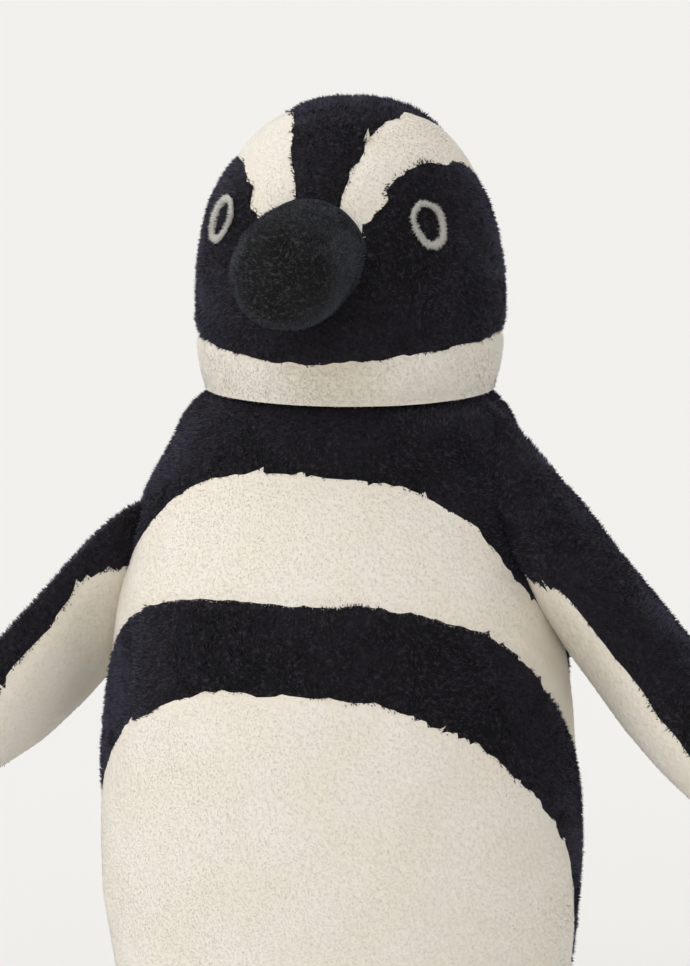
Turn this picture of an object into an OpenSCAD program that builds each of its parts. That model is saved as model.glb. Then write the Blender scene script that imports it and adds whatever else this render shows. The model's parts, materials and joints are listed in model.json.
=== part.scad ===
// Plush penguin: sewn pile-fabric panels over loose filling, with soft flippers,
// a head that twists a little at the neck crease, a felted beak and feet.
// Origin on the floor under the body's middle, +Z up, the face looks along -Y,
// and "left" is the penguin's own left, which is +X.

/* [Overall] */
// Full height from the floor to the top of the head
total_h = 530; // [500:5:560]
// Thickness of the pile fabric, backing and pile together
skin_t = 7; // [5:0.5:8]
// Clearance left between a cover and its filling
slack = 0.3; // [0.2:0.1:0.5]

/* [Body] */
// Widest width of the body
body_w = 220; // [208:2:232]
// Deepest depth of the body
body_d = 184; // [176:2:194]
// Radius of the bag of weighting pellets
pellet_r = 44; // [36:1:46]
// Height of the bag of weighting pellets
pellet_h = 38; // [25:1:50]

/* [Head] */
// Widest width of the head
head_w = 141; // [135:1:147]
// Deepest depth of the head
head_d = 144; // [138:1:150]
// How far forward the beak's end reaches from the origin
beak_reach = 107; // [100:1:112]
// Radius of the beak near its root
beak_r = 25.5; // [23:0.5:28]
// Height of an eye ring
eye_h = 21; // [18:0.5:24]
// Width of an eye ring
eye_w = 17.5; // [15:0.5:20]
// Width of the eye ring's stroke
eye_stroke = 3; // [2:0.5:4]

/* [Flippers] */
// Length of a flipper from its seam to its tip
flipper_l = 168; // [150:1:180]
// Thickness of a flipper
flipper_t = 56; // [50:1:60]
// Width of a flipper across its flat face
flipper_chord = 84; // [76:1:90]
// How far a flipper hangs below the horizontal
flipper_droop = 47; // [44:1:50]
// How far the flat face is turned towards the front
flipper_twist = 17; // [10:1:20]
// How far a flipper can be pressed towards the body
flipper_down = 5; // [0:1:8]
// How far a flipper can be lifted
flipper_up = 40; // [20:1:45]

/* [Feet and tail] */
// Distance from the middle to each foot's centre line
foot_x = 40; // [36:1:44]
// How far forward the toes reach from the origin
foot_reach = 118; // [108:1:122]
// Height of a foot
foot_h = 20; // [16:1:24]
// Length of the tail behind the back
tail_l = 34; // [25:1:40]

/* [Hidden] */
SIDES = ["left", "right"];

BLACK = [0.07, 0.07, 0.10];
CREAM = [0.93, 0.90, 0.83];
FELT = [0.13, 0.14, 0.15];
STUFFING = [0.85, 0.85, 0.85];

section_sides = 36;     // corners of each cross-section of the body and the head
flipper_sides = 28;     // corners of each cross-section of a flipper
foot_gap = 0.4;         // clearance between a foot or the tail and the body
neck_gap = 0.6;         // clearance across the neck crease, where the head twists
seam_gap = 0.6;         // clearance round a flipper's root
far = 700;              // reach of a cutter, past everything
k = total_h / 530;      // heights grow with the whole figure

neck_z = 396 * k;
throat_z = 421 * k;     // seam between the throat band and the black hood
cheek_z = 433 * k;      // height where the head is widest
head_y = 8;             // the head sits a little behind the body's middle
collar_y = 10;          // plane of the shoulder seams between collar and back
shoulder = [92, -5, 328 * k];   // middle of the left flipper's root
beak_root = [0, -52, 463 * k];  // where the beak's axis meets the face
beak_dip = 6.5;         // how far the beak points below the horizontal
eye_z = 476 * k;
eye_turn = 44.7;        // direction of each eye, round from the beak
eye_lean = 13;          // how far an eye's top leans towards the beak
foot_splay = 8;         // how far the toes turn outwards
heel_y = 56;            // distance from the origin to the heel's middle
sole_t = 3;             // thickness of a foot's sole
felt_t = 3;             // thickness of the felt over a foot and the beak
tail_t = 4;             // thickness of the pile over the tail
tail_root = [0, 56, 50 * k];

// Body sections from the floor to the neck: height, half width, half depth, middle
body_knots = [
    [0, 0.264, 0.293, 0], [12, 0.310, 0.337, 0], [30, 0.350, 0.380, 0],
    [70, 0.420, 0.437, -2], [135, 0.485, 0.484, -6], [200, 0.500, 0.500, -9],
    [260, 0.482, 0.495, -10], [320, 0.446, 0.467, -6], [355, 0.400, 0.429, 0],
    [375, 0.346, 0.397, 4], [396, 0.302, 0.370, 8]
];

// Seam lines seen from the side: distance behind the origin, height
collar_line = [
    [-71, 372], [-62, 366], [-50, 348], [-38, 324], [-18, 302], [5, 284],
    [26, 255], [40, 215], [46, 170], [48, 120], [46, 60], [42, 0]
];
band_top_line = [
    [-92, 318.5], [-87, 318], [-70, 309.5], [-50, 295], [-29, 273], [-10, 253],
    [8, 236], [22, 208], [30, 175], [33, 130], [32, 60], [28, 0]
];
belly_line = [
    [-98, 279.5], [-91, 276], [-83, 268], [-65, 253], [-50, 234], [-32, 216],
    [-8, 182], [6, 158], [13, 125], [15, 60], [13, 0]
];
cheek_line = [
    [-54.5, 475], [-52, 482], [-45, 487.5], [-39, 495], [-24, 501], [-10, 502],
    [10, 499.5], [22, 491], [30, 476], [34, 455], [34, 421]
];
// Edge of the crown seen from above: half width, distance behind the origin
crown_line = [
    [9.5, -54], [15.5, -42], [24, -16], [31, 0], [37, 12], [42, 30],
    [47, 42], [51, 52], [52.5, 56], [60, 80]
];

function sign_of(side) = side == "left" ? 1 : -1;

// One ring of n points round an ellipse at height z
function ring(n, z, half_w, half_d, mid_y) = [
    for (i = [0:n - 1])
        let (a = 360 * i / n)
        [half_w * cos(a), mid_y + half_d * sin(a), z]
];

// A closed solid through a list of sections: height, half width, half depth, middle
module loft(sections, n) {
    m = len(sections);
    points = [for (s = sections) each ring(n, s[0], s[1], s[2], s[3])];
    bottom = [for (i = [0:n - 1]) i];
    top = [for (i = [0:n - 1]) n * m - 1 - i];
    walls = [
        for (j = [0:m - 2], i = [0:n - 1])
            [j * n + i, (j + 1) * n + i, (j + 1) * n + (i + 1) % n, j * n + (i + 1) % n]
    ];
    polyhedron(points, concat([bottom], walls, [top]), convexity = 4);
}

// The body with its surface moved in by inset
module body_form(inset) {
    loft([
        for (s = body_knots)
            let (z = s[0] == 0 ? inset : s[0] * k)
            [z, s[1] * body_w - inset, s[2] * body_d - inset, s[3]]
    ], section_sides);
}

// Half width of the dome over the head's widest level, as a share of the widest
function dome(h) = pow(1 - pow(h, 2.25), 1 / 2.25);

// The head with its surface moved in by inset
module head_form(inset) {
    half_w = head_w / 2 - inset;
    half_d = head_d / 2 - inset;
    rise = total_h - cheek_z - inset;
    base = neck_z + neck_gap;
    loft(concat(
        [[base, half_w * 0.94, half_d * 0.94, head_y]],
        [[base + 20, half_w * 0.98, half_d * 0.98, head_y]],
        [for (h = [0, 0.2, 0.4, 0.55, 0.7, 0.82, 0.91, 0.97])
            [cheek_z + rise * h, half_w * dome(h), half_d * dome(h), head_y]],
        [[cheek_z + rise, half_w * 0.1, half_d * 0.1, head_y]]
    ), section_sides);
}

// Extrudes an outline drawn in side view (behind, up) across the whole width
module across() {
    rotate([90, 0, 90]) linear_extrude(2 * far, center = true) children();
}

// Everything in front of and below a seam line
module before(line) {
    scaled = [for (p = line) [p[0], p[1] * k]];
    first = scaled[0];
    last = scaled[len(scaled) - 1];
    across() polygon(concat(
        [[-far, first[1]]], scaled, [[last[0], -far], [-far, -far]]
    ));
}

// The half of space on one side of the centre seam
module half(side) {
    s = sign_of(side);
    translate([s > 0 ? 0 : -far, -far, -far]) cube([far, 2 * far, 2 * far]);
}

module body_shell() {
    difference() {
        body_form(0);
        body_form(skin_t);
        translate([-far, -far, -1]) cube([2 * far, 2 * far, skin_t + 1]);
        for (side = SIDES) shoulder_pocket(side);
    }
}

module head_shell() {
    difference() {
        head_form(0);
        translate([0, 0, -0.01]) head_form(skin_t);
        translate([0, 0, -skin_t]) head_form(skin_t);
    }
}

// Puts a shape made along +X, root at the origin, at one side's shoulder
module at_shoulder(side) {
    s = sign_of(side);
    mirror([s > 0 ? 0 : 1, 0, 0])
        translate(shoulder)
            rotate([0, flipper_droop, 0])
                rotate([-flipper_twist, 0, 0])
                    children();
}

// The room that a flipper's root needs over its whole travel
module shoulder_pocket(side) {
    r = flipper_t / 2 + seam_gap;
    reach = 160;
    low = flipper_down + 1;
    high = flipper_up + 1;
    at_shoulder(side)
        rotate([90, 0, 0])
            linear_extrude(flipper_chord + 6, center = true)
                union() {
                    circle(r, $fn = 48);
                    polygon([
                        [0, 0],
                        r * [-sin(low), -cos(low)],
                        r * [-sin(low), -cos(low)] + reach * [cos(low), -sin(low)],
                        r * [-sin(high), cos(high)] + reach * [cos(high), sin(high)],
                        r * [-sin(high), cos(high)]
                    ]);
                }
}

// ---- Body panels ----

module collar(side) {
    color(BLACK) difference() {
        intersection() {
            body_shell();
            half(side);
            translate([-far, -far, 0]) cube([2 * far, far + collar_y, neck_z]);
        }
        before(collar_line);
    }
}

module chest(side) {
    color(CREAM) difference() {
        intersection() {
            body_shell();
            half(side);
            before(collar_line);
        }
        before(band_top_line);
    }
}

module breast_band(side) {
    color(BLACK) difference() {
        intersection() {
            body_shell();
            half(side);
            before(band_top_line);
        }
        before(belly_line);
    }
}

module belly(side) {
    color(CREAM) intersection() {
        body_shell();
        half(side);
        before(belly_line);
    }
}

module back(side) {
    color(BLACK) difference() {
        intersection() {
            body_shell();
            half(side);
        }
        before(collar_line);
        translate([-far, -far, 0]) cube([2 * far, far + collar_y, neck_z + 1]);
    }
}

module base_panel() {
    color(BLACK) intersection() {
        body_form(0);
        translate([-far, -far, -1]) cube([2 * far, 2 * far, skin_t + 1]);
    }
}

module body_filling() {
    color(STUFFING) difference() {
        body_form(skin_t + slack);
        for (side = SIDES) shoulder_pocket(side);
        translate([0, 0, -1]) cylinder(pellet_h + skin_t + 2 * slack + 1, r = pellet_r + slack);
    }
}

module pellet_bag() {
    color("tan")
        translate([0, 0, skin_t + slack]) cylinder(pellet_h, r = pellet_r);
}

// ---- Tail and feet ----

// A short flat tail that slopes down behind the back, its surface moved in by inset
module tail_form(inset) {
    reach = tail_l + 20 - inset;
    translate(tail_root) rotate([-105, 0, 0]) loft([
        [0, 30 - inset, 13 - inset, 0], [reach * 0.4, 27 - inset, 12 - inset, 0],
        [reach * 0.7, 20 - inset, 9.5 - inset, 0], [reach * 0.9, 12.5 - inset, 7 - inset, 0],
        [reach, 5.5 - inset, 4.6 - inset, 0]
    ], 24);
}

module tail_cover() {
    color(BLACK) difference() {
        tail_form(0);
        tail_form(tail_t);
        body_form(-foot_gap);
    }
}

module tail_filling() {
    color(STUFFING) difference() {
        tail_form(tail_t + slack);
        body_form(-foot_gap);
    }
}

// Webbed foot seen from above, made of three toes that fan out from the heel
module foot_outline(grow) {
    toe_r = 12;
    for (i = [-1:1])
        hull() {
            translate([i * 6, -heel_y]) circle(22 + grow, $fn = 32);
            translate([i * 20, toe_r - foot_reach + abs(i) * 6]) circle(toe_r + grow, $fn = 24);
        }
}

module foot_slab(side, low, high, grow) {
    s = sign_of(side);
    translate([s * foot_x, 0, low]) rotate([0, 0, s * foot_splay])
        linear_extrude(high - low) foot_outline(grow);
}

module foot_upper(side) {
    color(FELT) difference() {
        foot_slab(side, sole_t, foot_h, 0);
        foot_slab(side, 0, foot_h - felt_t, -felt_t);
        body_form(-foot_gap);
    }
}

module foot_sole(side) {
    color(FELT) difference() {
        foot_slab(side, 0, sole_t, 0);
        body_form(-foot_gap);
        translate([0, 0, -1]) linear_extrude(sole_t + 2) base_footprint();
    }
}

// Outline of the body just above the floor, with the foot's clearance round it
module base_footprint() {
    level = body_knots[1];
    scale([body_w * level[1] + foot_gap, body_d * level[2] + foot_gap])
        circle(1, $fn = section_sides);
}

module foot_filling(side) {
    color(STUFFING) difference() {
        foot_slab(side, sole_t + slack, foot_h - felt_t - slack, -felt_t - slack);
        body_form(-foot_gap);
    }
}

// ---- Head panels ----

// Everything over the crown and down the nape, between the brow stripes
module crown_cutter() {
    edge = concat([[8, -far]], crown_line, [[60, far]]);
    other = [for (i = [len(edge) - 1:-1:0]) [-edge[i][0], edge[i][1]]];
    difference() {
        linear_extrude(2 * far) polygon(concat(edge, other));
        translate([-far, -far, 0]) cube([2 * far, far - 20, 474 * k]);
    }
}

module throat_slab() {
    translate([-far, -far, 0]) cube([2 * far, 2 * far, throat_z]);
}

module crown_panel() {
    color(BLACK) difference() {
        intersection() {
            head_shell();
            crown_cutter();
        }
        throat_slab();
    }
}

module cheek(side) {
    color(BLACK) difference() {
        intersection() {
            head_shell();
            half(side);
            before(cheek_line);
        }
        throat_slab();
        crown_cutter();
        eye_ring_form(side);
    }
}

module brow_stripe(side) {
    color(CREAM) difference() {
        intersection() {
            head_shell();
            half(side);
        }
        throat_slab();
        crown_cutter();
        before(cheek_line);
    }
}

module throat_band(side) {
    color(CREAM) intersection() {
        head_shell();
        half(side);
        throat_slab();
    }
}

// An oval ring let into the pile, standing a little proud of it
module eye_ring_form(side) {
    s = sign_of(side);
    let_in = 3;
    proud = 0.8;
    intersection() {
        difference() {
            head_form(-proud);
            translate([0, 0, -0.01]) head_form(let_in);
        }
        translate([0, head_y, eye_z])
            rotate([90, s * eye_lean, s * eye_turn])
                linear_extrude(far)
                    difference() {
                        scale([eye_w / 2, eye_h / 2]) circle(1, $fn = 32);
                        scale([eye_w / 2 - eye_stroke, eye_h / 2 - eye_stroke]) circle(1, $fn = 32);
                    }
    }
}

module eye_ring(side) {
    color("gainsboro") eye_ring_form(side);
}

// The blunt beak about its own axis, with its surface moved in by inset
module beak_form(inset) {
    length = beak_reach + beak_root[1];
    r = beak_r - inset;
    end = length - inset;
    translate(beak_root) rotate([90 + beak_dip, 0, 0])
        rotate_extrude($fn = 48) polygon([
            [0, -6], [r, -6], [r, 0], [r - 0.6, end - 18], [r - 2.6, end - 10.5],
            [r - 6.5, end - 5], [r - 12.5, end - 1.4], [0, end]
        ]);
}

module beak_cover() {
    color(FELT) difference() {
        beak_form(0);
        beak_form(felt_t);
        head_form(-0.2);
    }
}

module beak_filling() {
    color(STUFFING) difference() {
        beak_form(felt_t + slack);
        head_form(-0.2);
    }
}

module head_filling() {
    color(STUFFING) head_form(skin_t + slack);
}

// ---- Flippers ----

// One flipper along +X with its root round the hinge, its surface moved in by inset
module flipper_form(inset) {
    h = flipper_t / 2;
    c = flipper_chord / 2;
    root = [for (a = [12, 35, 60]) [-h * cos(a), sin(a), sin(a)]];
    blade = [
        [0, 1, 1], [flipper_l * 0.24, 1, 1], [flipper_l * 0.54, 0.96, 0.98],
        [flipper_l * 0.77, 0.79, 0.84], [flipper_l * 0.91, 0.52, 0.6],
        [flipper_l * 0.98, 0.24, 0.3], [flipper_l, 0.1, 0.12]
    ];
    sections = concat(root, blade);
    shrink = (flipper_l + h - 2 * inset) / (flipper_l + h);
    rotate([0, 90, 0]) loft([
        for (s = sections)
            [-h + inset + (s[0] + h) * shrink,
             max(s[1] * h - inset, 0.6), max(s[2] * c - inset, 0.6), 0]
    ], flipper_sides);
}

module flipper_shell() {
    difference() {
        flipper_form(0);
        flipper_form(skin_t);
    }
}

// The outer half faces up and outwards, the inner half down and inwards
module flipper_half(side, up) {
    at_shoulder(side) intersection() {
        flipper_shell();
        translate([-far, -far, up ? 0 : -far]) cube([2 * far, 2 * far, far]);
    }
}

module flipper_outer(side) {
    color(BLACK) flipper_half(side, true);
}

module flipper_inner(side) {
    color(CREAM) flipper_half(side, false);
}

module flipper_filling(side) {
    color(STUFFING) at_shoulder(side) flipper_form(skin_t + slack);
}

for (side = SIDES) {
    collar(side);
    chest(side);
    breast_band(side);
    belly(side);
    back(side);
    foot_upper(side);
    foot_sole(side);
    foot_filling(side);
    brow_stripe(side);
    cheek(side);
    throat_band(side);
    eye_ring(side);
    flipper_outer(side);
    flipper_inner(side);
    flipper_filling(side);
}
base_panel();
body_filling();
pellet_bag();
tail_cover();
tail_filling();
crown_panel();
beak_cover();
beak_filling();
head_filling();
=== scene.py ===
# %% [markdown]
# # A plush penguin
# The real toy is sewn from flat panels of short sheared pile, turned right side out and filled with loose
# fibre. What the eye reads is not the panels but thousands of small locks of wool standing on them, so this
# lesson builds three things: the stuffed shape under the pile, the pile itself as real locks, and the light.
# It could be done with a hair system, but hair is lost when a model leaves Blender, and real mesh is kept.

import json
import math

import bpy
import numpy as np
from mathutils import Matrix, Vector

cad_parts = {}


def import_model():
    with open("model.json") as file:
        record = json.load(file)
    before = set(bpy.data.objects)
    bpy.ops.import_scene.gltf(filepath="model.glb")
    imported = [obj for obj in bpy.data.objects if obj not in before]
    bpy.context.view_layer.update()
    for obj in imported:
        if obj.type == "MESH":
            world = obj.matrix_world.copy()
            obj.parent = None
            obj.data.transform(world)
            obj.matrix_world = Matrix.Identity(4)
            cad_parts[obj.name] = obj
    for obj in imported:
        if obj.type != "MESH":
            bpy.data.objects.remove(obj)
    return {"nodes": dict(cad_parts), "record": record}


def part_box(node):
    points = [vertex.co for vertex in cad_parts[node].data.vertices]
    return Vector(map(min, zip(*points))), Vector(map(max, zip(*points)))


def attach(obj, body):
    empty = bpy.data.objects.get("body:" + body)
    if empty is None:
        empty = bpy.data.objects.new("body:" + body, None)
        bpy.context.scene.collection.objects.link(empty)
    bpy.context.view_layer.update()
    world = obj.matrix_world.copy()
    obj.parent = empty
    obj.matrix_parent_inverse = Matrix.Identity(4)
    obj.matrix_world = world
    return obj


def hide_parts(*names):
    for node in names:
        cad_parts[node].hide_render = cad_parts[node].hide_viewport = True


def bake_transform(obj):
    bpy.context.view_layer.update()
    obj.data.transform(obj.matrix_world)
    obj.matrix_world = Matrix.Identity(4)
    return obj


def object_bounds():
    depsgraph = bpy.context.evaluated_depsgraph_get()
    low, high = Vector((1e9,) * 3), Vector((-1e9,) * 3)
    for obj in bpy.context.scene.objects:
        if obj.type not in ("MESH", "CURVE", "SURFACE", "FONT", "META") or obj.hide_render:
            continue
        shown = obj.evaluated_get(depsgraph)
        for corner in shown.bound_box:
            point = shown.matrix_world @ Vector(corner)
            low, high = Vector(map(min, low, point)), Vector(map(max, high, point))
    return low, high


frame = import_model()
cad_low, cad_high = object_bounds()
record = frame["record"]
joints = {j["name"]: j for j in record["behaviour"]["joints"]}
print("frame", [round(v, 4) for v in (*cad_low, *cad_high)])

# %% [markdown]
# ## The camera
# A long lens a little above the head, turned sixteen degrees towards the bird's own left, keeps the toy's
# proportions true. It could be framed by eye, but a lens, a distance and a height are easier to say and to
# repeat. It is made first, so that every later step can be looked at.

# %% Camera
camera_turn = math.radians(16)
camera_distance = 1.65
camera_height = 0.62
aim_height = 0.3563

camera = bpy.data.objects.new("camera", bpy.data.cameras.new("camera"))
bpy.context.scene.collection.objects.link(camera)
camera.data.lens = 139.8
camera.data.sensor_width = 36
camera.location = (
    camera_distance * math.sin(camera_turn),
    -camera_distance * math.cos(camera_turn),
    camera_height,
)
dip = math.atan2(camera_height - aim_height, camera_distance)
camera.rotation_euler = (math.pi / 2 - dip, 0, camera_turn)
bpy.context.scene.camera = camera
print("camera looks down by", round(math.degrees(dip), 2), "degrees")

# %% [markdown]
# ## Random numbers that repeat
# Wool is never even: it swirls, clumps and parts. Each irregularity here comes from a lattice of repeatable
# random numbers in space. A seeded generator alone could do it, but a lattice gives the same value at the
# same place on two neighbouring panels, so a swirl runs across a seam as it does on the real cloth.

# %% Smooth noise
random = np.random.default_rng(7)


def lattice(cell, seed):
    """A repeatable number from 0 to 1 for each whole-number cell: the three counts are multiplied by large
    odd numbers, mixed bit by bit, and the low bits are kept."""
    c = cell.astype(np.int64)
    h = c[..., 0] * 73856093 ^ c[..., 1] * 19349663 ^ c[..., 2] * 83492791 ^ (seed * 2654435761)
    h = (h ^ (h >> 13)) * 1274126177
    h = (h ^ (h >> 16)) * 668265263
    return ((h >> 8) & 0xFFFF) / 65535


def noise(p, size, seed):
    """A smooth number from -1 to 1 that changes over about size: the lattice's values at a cell's eight
    corners, blended with an eased weight along each axis."""
    q = p / size
    base = np.floor(q)
    f = q - base
    f = f * f * (3 - 2 * f)
    total = 0
    for corner in np.ndindex(2, 2, 2):
        w = np.where(np.array(corner), f, 1 - f)
        total = total + w[..., 0] * w[..., 1] * w[..., 2] * lattice(base + np.array(corner), seed)
    return 2 * total - 1


def noise3(p, size, seed):
    """Three independent smooth numbers as a vector."""
    return np.stack([noise(p, size, seed + i) for i in range(3)], axis=-1)


def unit(v):
    """Each vector divided by its length."""
    return v / np.maximum(np.linalg.norm(v, axis=-1, keepdims=True), 1e-12)


def eased(t):
    """0 below 0, 1 above 1 and an even S between them."""
    t = np.clip(t, 0, 1)
    return t * t * (3 - 2 * t)


def through(knots, x):
    """A smooth curve through knots, one row each of place and values: between two knots it is the cubic
    whose slope at each knot is that of the line between the knot's two neighbours."""
    k = np.asarray(knots, float)
    slope = np.gradient(k[:, 1:], k[:, 0], axis=0)
    x = np.clip(x, k[0, 0], k[-1, 0])
    i = np.clip(np.searchsorted(k[:, 0], x, side="right") - 1, 0, len(k) - 2)
    w = (k[i + 1, 0] - k[i, 0])[:, None]
    t = (x - k[i, 0])[:, None] / w
    a, b = k[i, 1:], k[i + 1, 1:]
    return (
        a * (1 + 2 * t) * (1 - t) ** 2
        + b * t * t * (3 - 2 * t)
        + w * slope[i] * t * (1 - t) ** 2
        - w * slope[i + 1] * t * t * (1 - t)
    )


print("noise check", noise(np.array([[0.01, 0.02, 0.03]]), 0.02, 1).round(3))

# %% [markdown]
# ## Surfaces from two parameters
# A stuffed form is a closed skin: one parameter goes round it and the other along it. The points are worked
# out as one array, the triangles as another, and a panel is then just some of the triangles. Modelling each
# panel by itself would be closer to the sewing, but their edges would have to be matched by hand.

# %% Grids and normals
MM = 0.001


def grid_triangles(rows, cols, first_pole=False, last_pole=False):
    """Two triangles for each square of a grid whose columns close on themselves. A pole is a row whose
    points are one point, and its flat triangles are left out."""
    index = np.arange(rows * cols).reshape(rows, cols)
    if first_pole:
        index[0] = index[0, 0]
    if last_pole:
        index[-1] = index[-1, 0]
    a, b = index[:-1], np.roll(index[:-1], -1, axis=1)
    c, d = np.roll(index[1:], -1, axis=1), index[1:]
    tris = np.concatenate([np.stack([a, b, c], -1), np.stack([a, c, d], -1)], axis=1).reshape(-1, 3)
    flat = (tris[:, 0] == tris[:, 1]) | (tris[:, 1] == tris[:, 2]) | (tris[:, 0] == tris[:, 2])
    return tris[~flat]


def vertex_normals(points, tris):
    """The sum of the normals of the triangles round each point, each as long as its triangle is large."""
    p = points[tris]
    n = np.cross(p[:, 1] - p[:, 0], p[:, 2] - p[:, 0])
    total = np.zeros_like(points)
    for i in range(3):
        for axis in range(3):
            total[:, axis] += np.bincount(tris[:, i], n[:, axis], len(points))
    return unit(total)


def turned_outwards(points, tris):
    """The triangles, turned over if the closed skin they make holds a negative volume."""
    p = points[tris]
    return tris if np.sum(p[:, 0] * np.cross(p[:, 1], p[:, 2])) > 0 else tris[:, ::-1]


print("three rows of four points make", len(grid_triangles(3, 4)), "triangles")


# %% Cloth with a thickness
CLOTH_T = 1.6 * MM


def free_edges(tris):
    """The directed edges that only one triangle has: the outline of an open patch."""
    e = np.concatenate([tris[:, [0, 1]], tris[:, [1, 2]], tris[:, [2, 0]]])
    key = e.min(axis=1) * (tris.max() + 1) + e.max(axis=1)
    _, first, count = np.unique(key, return_index=True, return_counts=True)
    return e[first[count == 1]]


def shell(points, normals, tris, thickness):
    """A patch of cloth with a thickness: the patch, a copy of it moved in and turned over, and a rim of two
    triangles along each free edge. Each side keeps the whole skin's normals, so that two patches shade as
    one where they meet. A patch with no free edge stays one closed skin."""
    used, t = np.unique(tris, return_inverse=True)
    t = t.reshape(-1, 3)
    outer, facing = points[used], normals[used]
    edges = free_edges(t)
    if len(edges) == 0:
        return outer, t, facing
    n = len(used)
    inner = outer - thickness * facing
    a, b = edges[:, 0], edges[:, 1]
    rim = np.concatenate([np.stack([b, a, a + n], 1), np.stack([b, a + n, b + n], 1)])
    tris = np.concatenate([t, t[:, ::-1] + n, rim])
    return np.concatenate([outer, inner]), tris, np.concatenate([facing, -facing])


print("cloth is", CLOTH_T / MM, "mm thick")


# %% Arrays into a mesh
def make_mesh(name, points, tris, values, normals=None):
    """One object at the origin from arrays: foreach_set fills the points, corners and triangles, and each
    entry of values becomes an attribute of the points."""
    mesh = bpy.data.meshes.new(name)
    mesh.vertices.add(len(points))
    mesh.vertices.foreach_set("co", points.astype(np.float32).ravel())
    mesh.loops.add(3 * len(tris))
    mesh.loops.foreach_set("vertex_index", tris.astype(np.int32).ravel())
    mesh.polygons.add(len(tris))
    mesh.polygons.foreach_set("loop_start", np.arange(0, 3 * len(tris), 3, dtype=np.int32))
    mesh.polygons.foreach_set("use_smooth", np.ones(len(tris), bool))
    mesh.update(calc_edges=True)
    for key, value in values.items():
        mesh.attributes.new(key, "FLOAT", "POINT").data.foreach_set("value", value.astype(np.float32))
    if normals is not None:
        mesh.normals_split_custom_set_from_vertices(normals.astype(np.float32))
    piece = bpy.data.objects.new(name, mesh)
    bpy.context.scene.collection.objects.link(piece)
    return piece


# %% [markdown]
# ## The body's form
# The body is a tall egg, deepest low in front and drawn in to the neck. It could be sculpted, but a list of
# cross-sections says the same in a few lines: at each height, how wide, how deep and how far back. Widths
# are shares of the widest place, which is read from the CAD panels, so the two models can't drift apart.

# %% Body sections
grow = cad_high.z / 0.530
body_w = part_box("breast_band_left")[1].x
body_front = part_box("belly_left")[0].y
body_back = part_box("back_left")[1].y
body_d = (body_back - body_front) / 2
neck_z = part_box("throat_band_left")[0].z
collar_y = 0.010
# the head's form lies a little inside the CAD one
head_inset = 1.2 * MM
head_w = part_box("cheek_left")[1].x - head_inset
head_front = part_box("cheek_left")[0].y
head_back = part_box("crown_panel")[1].y
head_d = (head_back - head_front) / 2 - head_inset
head_y = (head_back + head_front) / 2
neck_share = 0.952
# the crease between head and collar, a little above the joint
crease_z = neck_z + 3.5 * MM

# height in millimetres, half width and half depth as shares, and how far back the middle lies
egg_knots = np.array(
    [
        [0, 0.528, 0.586, 0],
        [12, 0.620, 0.674, 0],
        [30, 0.705, 0.762, 0],
        [70, 0.840, 0.874, -2],
        [135, 0.957, 0.960, -6],
        [200, 1.000, 1.000, -9],
        [260, 0.964, 0.990, -10],
        [320, 0.892, 0.934, -6],
        [355, 0.812, 0.858, 0],
        [375, 0.720, 0.794, 4],
        [389, 0.657, 0.768, 6],
    ]
)
# the collar's edge, at the top, stands just inside the head's
collar_inset = 4.0 * MM
collar_knot = [
    399.5 * (MM * grow), neck_share * head_w - collar_inset, neck_share * head_d - collar_inset, head_y
]
body_knots = np.vstack([egg_knots * [MM * grow, body_w, body_d, MM], collar_knot])


def body_section(z):
    """Half width, half depth and middle of the body at each height."""
    return through(body_knots, np.asarray(z, float).ravel()).T


def body_points(rows, cols):
    """Height by row, evenly from the floor to the neck, and a full turn by column: half width times cosine,
    middle plus half depth times sine."""
    z = np.repeat(np.linspace(0, crease_z, rows), cols)
    turn = np.tile(2 * np.pi * np.arange(cols) / cols, rows)
    half_w, half_d, middle = body_section(z)
    return np.stack([half_w * np.cos(turn), middle + half_d * np.sin(turn), z], axis=1)


def inside_body(p, share):
    """True where a point lies within that share of the body's width and depth."""
    half_w, half_d, middle = body_section(p[:, 2])
    near = (p[:, 0] / half_w) ** 2 + ((p[:, 1] - middle) / half_d) ** 2 < share**2
    return near & (p[:, 2] < crease_z) & (p[:, 2] > 0)


print("body half width and half depth", round(body_w, 4), round(body_d, 4))

# %% [markdown]
# ## The head's form
# The head is a dome on a short neck. A dome could be half a sphere, but a stuffed head is fuller at the
# shoulders of the curve than a sphere, so its outline is a superellipse: width and height are raised to a
# power a little over two before they are added.

# %% Head sections
crown_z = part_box("crown_panel")[1].z - 1.4 * MM
throat_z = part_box("throat_band_left")[1].z
cheek_z = 0.433 * grow
dome_power = 2.25
head_low = crease_z - 1.8 * MM


def head_share(z):
    """Half width at a height as a share of the widest: a short eased taper below the cheeks, and the
    superellipse above them."""
    h = np.clip((z - cheek_z) / (crown_z - cheek_z), 0, 1)
    dome = (1 - h**dome_power) ** (1 / dome_power)
    below = np.clip((cheek_z - z) / (cheek_z - neck_z), 0, 1)
    return dome * (1 - (1 - neck_share) * below**1.6)


def head_points(rows_low, rows_dome, cols):
    """Rows climb the neck evenly and then the dome by the angle from the cheeks to the crown, so that they
    crowd together where the dome turns over."""
    low = np.linspace(head_low, cheek_z, rows_low, endpoint=False)
    angle = np.linspace(0, np.pi / 2, rows_dome)
    dome = cheek_z + (crown_z - cheek_z) * np.sin(angle) ** (2 / dome_power)
    share = np.concatenate([head_share(low), np.cos(angle) ** (2 / dome_power)])
    share[-1] = 0
    z = np.repeat(np.concatenate([low, dome]), cols)
    share = np.repeat(share, cols)
    turn = np.tile(2 * np.pi * np.arange(cols) / cols, len(low) + len(dome))
    return np.stack(
        [head_w * share * np.cos(turn), head_y + head_d * share * np.sin(turn), z], axis=1
    )


print("head half width and half depth", round(head_w, 4), round(head_d, 4))

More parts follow.
